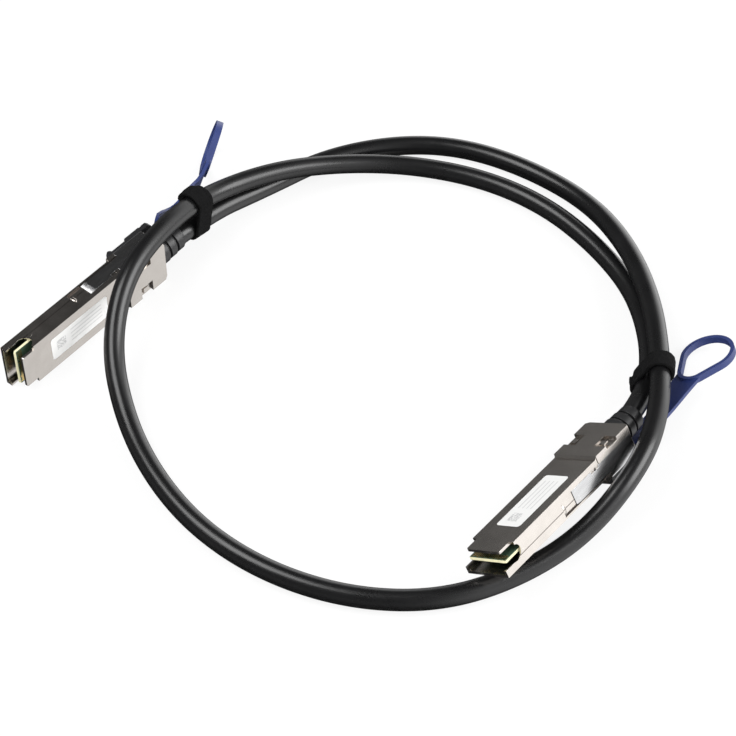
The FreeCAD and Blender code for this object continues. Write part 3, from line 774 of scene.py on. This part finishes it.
def makeSprings():
    # two coils under each plug
    steel = plainMetalFinish("springWire")
    for side in plugs:
        piece, other = (makeCoil(across) for across in (-spring["spread"], spring["spread"]))
        pick(piece)
        other.select_set(True)
        bpy.ops.object.join()
        bpy.ops.object.mode_set(mode="EDIT")
        bpy.ops.mesh.select_all(action="DESELECT")
        bpy.ops.mesh.select_non_manifold()
        bpy.ops.mesh.edge_face_add()
        bpy.ops.mesh.select_all(action="SELECT")
        bpy.ops.mesh.normals_make_consistent(inside=False)
        bpy.ops.object.mode_set(mode="OBJECT")
        bpy.ops.object.shade_smooth_by_angle(angle=math.radians(spring["smoothAngle"]))
        place = plugFrame(side)
        settle(piece, "springs_" + side, steel, place)
        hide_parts("return_springs_" + side)
        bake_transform(piece)


# hook-and-loop ties

ties = {
    # middles of the upper and lower strand and the strands' direction
    "a": {"upper": (9.74, 81.02, 19.0), "lower": (8.04, 81.42, 9.15),
          "heading": (0.98, 0.02, -0.17), "width": 7.4, "layerWidth": 5.6, "flip": False},
    "b": {"upper": (52.44, -95.48, 15.6), "lower": (50.64, -92.38, 8.6),
          "heading": (0.86, 0.51, -0.12), "width": 7.0, "layerWidth": 5.4, "flip": True},
}
felt = {
    # millimetres, slant in degrees; sink is a share of the second layer's thickness, and
    # endsAbove is how far over the upper strand's middle the loose end stops
    "inner": 3.85, "gauge": 1.4, "layerGauge": 1.2, "sink": 0.35, "endsAbove": 2.0,
    "slant": 9.0, "skew": -0.9, "voxel": 0.28, "softening": 6, "lump": 2.6, "lumpHeight": 0.45,
    "sides": 48,
}
feltFibres = {
    "dark": (0.003, 0.003, 0.003), "pale": (0.013, 0.013, 0.0135), "rough": 0.95,
    "fuzz": 2600.0, "tuft": 700.0, "fuzzBump": 0.6, "depth": 0.0003,
}
belowMiddle = -0.01    # a hair under a band's middle, so that the points on it count as above


def feltFinish():
    finish = Finish("tieFelt", {"Roughness": feltFibres["rough"], "Specular IOR Level": 0.06})
    fuzz = finish.noise(finish.place, feltFibres["fuzz"], 4.0, 0.75)
    tuft = finish.noise(finish.place, feltFibres["tuft"], 3.0)
    finish.colour(finish.mix(fuzz, feltFibres["dark"], feltFibres["pale"]))
    finish.bump(fuzz * feltFibres["fuzzBump"] + tuft, feltFibres["depth"], 0.9)
    return finish.material


def feltBand(radius, width, gap, gauge):
    # a strip bent round both strands, its wall not yet applied
    deselectAll()
    bpy.ops.mesh.primitive_cylinder_add(vertices=felt["sides"], radius=radius, depth=width,
                                        end_fill_type="NOTHING")
    band = bpy.context.object
    bpy.ops.object.mode_set(mode="EDIT")
    bpy.ops.transform.rotate(value=quarterTurn, orient_axis="Y", center_override=(0, 0, 0))
    selectWhere(band, lambda place: place.z > belowMiddle)
    bpy.ops.transform.translate(value=(0, 0, gap))
    bpy.ops.object.mode_set(mode="OBJECT")
    wall = band.modifiers.new("wall", "SOLIDIFY")
    wall.thickness = gauge
    wall.offset = 0.0
    return band


def looseEnd(tie, gap):
    # a second layer over one strand, laid slightly askew
    reach = felt["inner"] + felt["gauge"] + felt["layerGauge"] * felt["sink"]
    layer = feltBand(reach, tie["layerWidth"], gap, felt["layerGauge"])
    stop = gap + felt["endsAbove"]
    selectWhere(layer, lambda place: (place.z < belowMiddle
                                      or place.y < 0.0 and place.z < stop))
    bpy.ops.mesh.delete(type="VERT")
    bpy.ops.mesh.select_all(action="SELECT")
    bpy.ops.transform.rotate(value=math.radians(felt["slant"]), orient_axis="Y",
                             center_override=(0, 0, gap))
    bpy.ops.transform.translate(value=(felt["skew"], 0, 0))
    bpy.ops.object.mode_set(mode="OBJECT")
    bpy.ops.object.modifier_apply(modifier="wall")
    if tie["flip"]:
        bpy.ops.object.mode_set(mode="EDIT")
        bpy.ops.mesh.select_all(action="SELECT")
        bpy.ops.transform.rotate(value=math.pi, orient_axis="X",
                                 center_override=(0, 0, gap / 2))
        bpy.ops.object.mode_set(mode="OBJECT")
    return layer


def feltLumps(band):
    # the layers become one soft, uneven piece
    weld = band.modifiers.new("weld", "REMESH")
    weld.mode = "VOXEL"
    weld.voxel_size = felt["voxel"]
    soften = band.modifiers.new("soften", "SMOOTH")
    soften.iterations = felt["softening"]
    lumps = bpy.data.textures.new("feltLumps", "CLOUDS")
    lumps.noise_scale = felt["lump"]
    uneven = band.modifiers.new("uneven", "DISPLACE")
    uneven.texture = lumps
    uneven.strength = felt["lumpHeight"]
    uneven.texture_coords = "LOCAL"
    for modifier in ("weld", "soften", "uneven"):
        bpy.ops.object.modifier_apply(modifier=modifier)
    bpy.ops.object.shade_smooth()


def makeTies():
    finish = feltFinish()
    made = []
    for side, tie in ties.items():
        along = Vector(tie["heading"]).normalized()
        lower, upper = Vector(tie["lower"]), Vector(tie["upper"])
        rise = upper - lower
        rise -= along * rise.dot(along)
        gap = rise.length
        rise.normalize()
        beside = rise.cross(along)
        band = feltBand(felt["inner"] + felt["gauge"] / 2, tie["width"], gap, felt["gauge"])
        pick(band)
        bpy.ops.object.modifier_apply(modifier="wall")
        layer = looseEnd(tie, gap)
        pick(band)
        layer.select_set(True)
        bpy.ops.object.join()
        feltLumps(band)
        place = Matrix((along, beside, rise)).transposed().to_4x4()
        place.translation = lower * mm
        settle(band, "tie_" + side, finish, place)
        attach(band, "root")
        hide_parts("cable_tie_" + side)
        made.append(band)
    return made


makeCamera()
cablePiece = makeCable()
print("cable laid")
makeWorld()
makeLamps()
makeFloor()
print("studio ready")
makePlugs()
print("plugs dressed")
makeBoots()
print("boots turned")
makeSprings()
print("springs wound")
tiePieces = makeTies()
print("ties dressed")
bpy.context.scene.view_settings.view_transform = "Standard"
